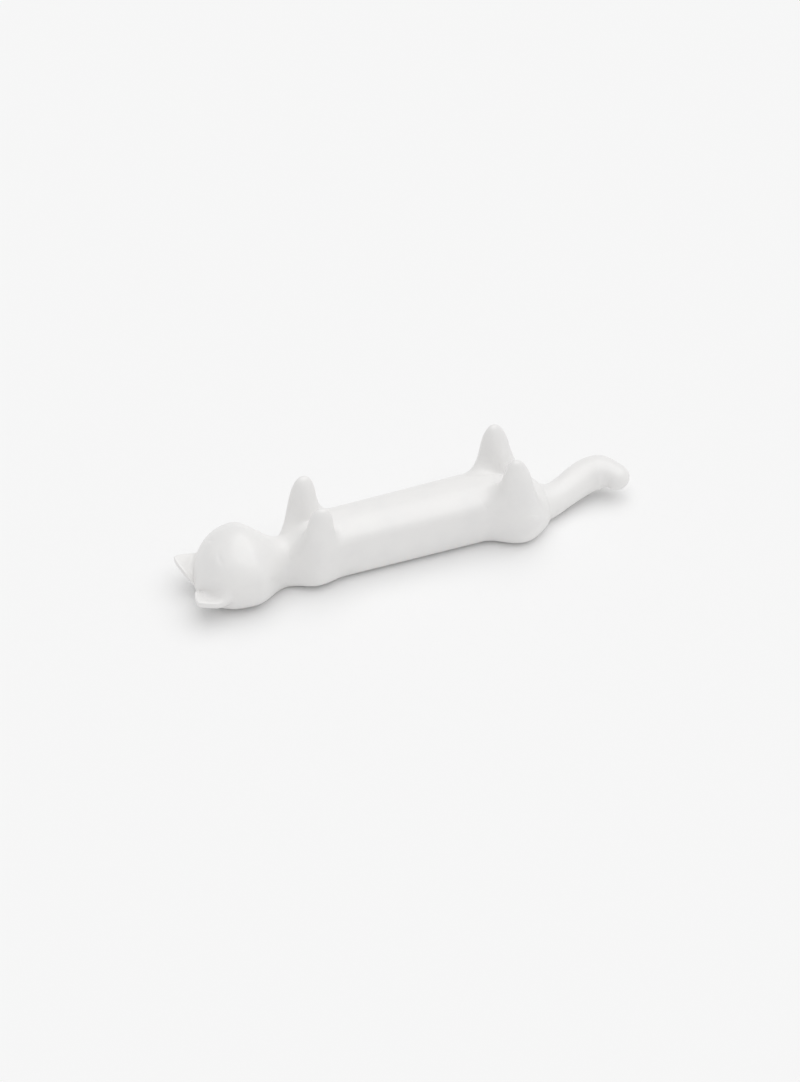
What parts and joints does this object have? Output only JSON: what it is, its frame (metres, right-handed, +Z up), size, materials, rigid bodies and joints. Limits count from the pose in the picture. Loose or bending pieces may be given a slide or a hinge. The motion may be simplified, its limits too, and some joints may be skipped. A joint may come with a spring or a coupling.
{
  "type": "chopstick rest",
  "caption": "Porcelain chopstick rest shaped as a cat on its back: chopsticks lie across the long belly between the raised forelegs and hind legs, and the bent tail lies behind.",
  "frame": {"origin": "on the table under the middle of the belly, halfway between the foreleg axis and the hind leg axis", "axes": "+X along the body from the head to the tail, +Y to the cat's left side, +Z up through the belly and the paws"},
  "size_m": [0.1074, 0.0206, 0.0243],
  "materials": {
    "glazed_porcelain": "satin"
  },
  "bodies": {
    "root": {"torso": "glazed_porcelain", "head": "glazed_porcelain", "left_ear": "glazed_porcelain", "right_ear": "glazed_porcelain", "left_foreleg": "glazed_porcelain", "right_foreleg": "glazed_porcelain", "left_hind_leg": "glazed_porcelain", "right_hind_leg": "glazed_porcelain", "tail": "glazed_porcelain"}
  },
  "joints": []
}
